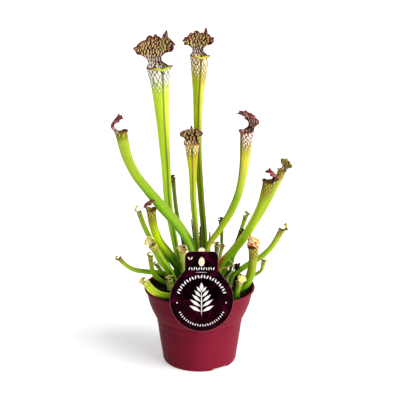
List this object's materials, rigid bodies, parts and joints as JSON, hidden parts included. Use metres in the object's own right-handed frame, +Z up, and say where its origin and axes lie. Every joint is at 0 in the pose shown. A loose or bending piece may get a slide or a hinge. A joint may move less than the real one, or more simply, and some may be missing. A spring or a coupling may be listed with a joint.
{
  "type": "potted pitcher plant",
  "caption": "Trumpet pitcher plant in a tapered nursery pot: upright winged tubes with rolled lips and ruffled netted hoods, dark potting mix, and a round label card hung on a stake.",
  "frame": {"origin": "centre of the pot's flat underside", "axes": "+Z up along the pot's axis; -Y is the front, where the label card hangs; +X to the right seen from the front"},
  "size_m": [0.191, 0.1269, 0.3546],
  "materials": {
    "pot_plastic": "satin",
    "potting_mix": "matte",
    "pitcher_leaf": "satin",
    "withered_leaf": "matte",
    "label_card": "satin",
    "label_stake": "satin"
  },
  "bodies": {
    "root": {"nursery_pot": "pot_plastic", "potting_mix": "potting_mix", "tall_left_pitcher": "pitcher_leaf", "tall_right_pitcher": "pitcher_leaf", "middle_pitcher": "pitcher_leaf", "left_curved_pitcher": "pitcher_leaf", "right_curved_pitcher": "pitcher_leaf", "right_pitcher": "pitcher_leaf", "left_thick_pitcher": "pitcher_leaf", "front_right_pitcher": "pitcher_leaf", "left_lower_pitcher": "pitcher_leaf", "right_back_pitcher": "pitcher_leaf", "far_right_pitcher": "pitcher_leaf", "left_thin_pitcher": "pitcher_leaf", "far_left_pitcher": "pitcher_leaf", "small_left_pitcher": "pitcher_leaf", "rim_pitcher": "pitcher_leaf", "low_left_pitcher": "pitcher_leaf", "upper_left_bud": "pitcher_leaf", "low_right_pitcher": "pitcher_leaf", "short_right_pitcher": "pitcher_leaf", "orange_lip_pitcher": "pitcher_leaf", "pale_back_pitcher": "pitcher_leaf", "orange_pale_pitcher": "pitcher_leaf", "dark_back_pitcher": "pitcher_leaf", "brown_top_pitcher": "pitcher_leaf", "pale_right_back_pitcher": "pitcher_leaf", "purple_pitcher": "pitcher_leaf", "yellow_thin_leaf": "withered_leaf", "withered_dark_leaf": "withered_leaf", "dark_thin_tip": "withered_leaf", "dry_orange_leaf": "withered_leaf", "pale_tendril": "withered_leaf", "label_card": "label_card", "label_stake": "label_stake"}
  },
  "joints": []
}
